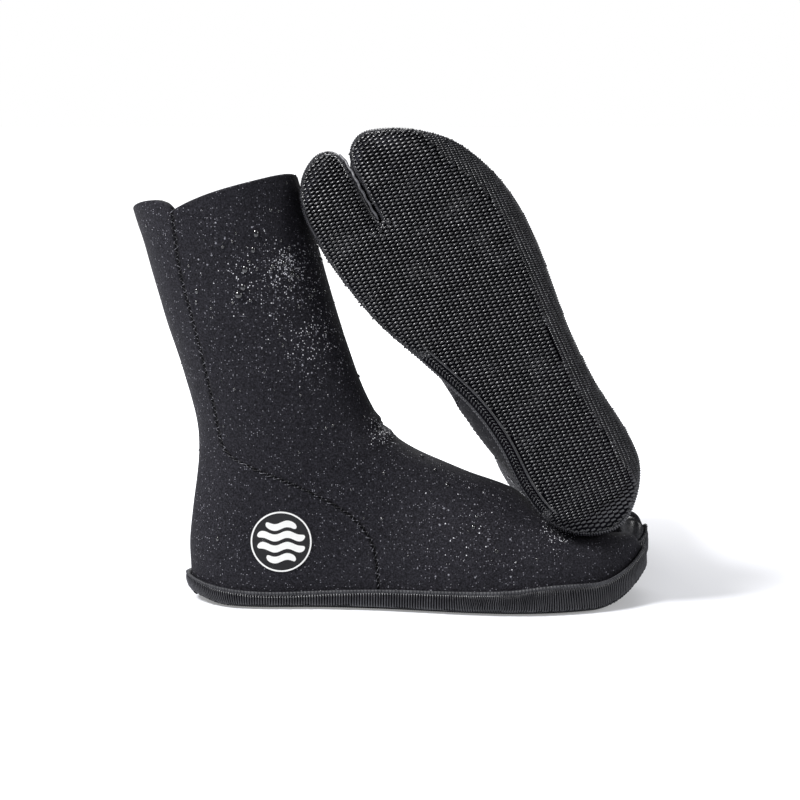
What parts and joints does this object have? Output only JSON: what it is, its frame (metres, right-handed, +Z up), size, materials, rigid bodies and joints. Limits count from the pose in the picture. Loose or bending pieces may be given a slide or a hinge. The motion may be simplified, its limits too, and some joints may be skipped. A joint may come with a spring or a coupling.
{
  "type": "pair of split-toe neoprene boots",
  "caption": "Calf-high split-toe neoprene water boots with textured rubber soles; the left boot leans on the standing right boot, sole outwards.",
  "frame": {"origin": "centre of the standing (right) boot's flat sole, on the ground, 130 mm ahead of its heel", "axes": "+X towards the standing boot's toes, +Y towards its inner side, +Z up from the ground"},
  "size_m": [0.3115, 0.2767, 0.2833],
  "materials": {
    "tread_rubber": "black moulded rubber with raised tread, semi-gloss where wet",
    "sidewall_rubber": "charcoal moulded rubber with fine ribs, satin",
    "guard_rubber": "black rubber, satin",
    "neoprene": "matt black neoprene with a fine textured skin",
    "insole_fabric": "black jersey lining over foam",
    "seam_tape": "black woven tape",
    "badge_print": "white print on a thin black rubber disc"
  },
  "bodies": {
    "right_boot": {"right_outsole": "tread_rubber", "right_sidewall": "sidewall_rubber", "right_insole": "insole_fabric", "right_toe_split_guard": "guard_rubber", "right_vamp_panel": "neoprene", "right_heel_panel": "neoprene", "right_instep_flex": "neoprene", "right_achilles_flex": "neoprene", "right_lateral_foot_tape": "seam_tape", "right_medial_foot_tape": "seam_tape", "right_heel_badge": "badge_print"},
    "right_shaft": {"right_shin_panel": "neoprene", "right_calf_panel": "neoprene", "right_lateral_shaft_tape": "seam_tape", "right_medial_shaft_tape": "seam_tape"},
    "left_boot": {"left_outsole": "tread_rubber", "left_sidewall": "sidewall_rubber", "left_insole": "insole_fabric", "left_toe_split_guard": "guard_rubber", "left_vamp_panel": "neoprene", "left_heel_panel": "neoprene", "left_instep_flex": "neoprene", "left_achilles_flex": "neoprene", "left_lateral_foot_tape": "seam_tape", "left_medial_foot_tape": "seam_tape", "left_heel_badge": "badge_print"},
    "left_shaft": {"left_shin_panel": "neoprene", "left_calf_panel": "neoprene", "left_lateral_shaft_tape": "seam_tape", "left_medial_shaft_tape": "seam_tape"}
  },
  "joints": [
    {"name": "right_ankle_bend", "type": "hinge", "parent": "right_boot", "child": "right_shaft", "pos_m": [-0.068, 0, 0.09], "axis": [0, 1, 0], "range_deg": [-20, 0], "stiffness_Nm_per_rad": 6, "deforming": ["right_instep_flex", "right_achilles_flex"]},
    {"name": "left_boot_lift", "type": "slide", "parent": "right_boot", "child": "left_boot", "axis": [0.6, 0, 0.8], "range_m": [0, 0.25]},
    {"name": "left_ankle_bend", "type": "hinge", "parent": "left_boot", "child": "left_shaft", "pos_m": [0.09202, 0.05388, 0.09543], "axis": [0.8347, 0.0523, 0.5483], "range_deg": [0, 20], "stiffness_Nm_per_rad": 6, "deforming": ["left_instep_flex", "left_achilles_flex"]}
  ]
}
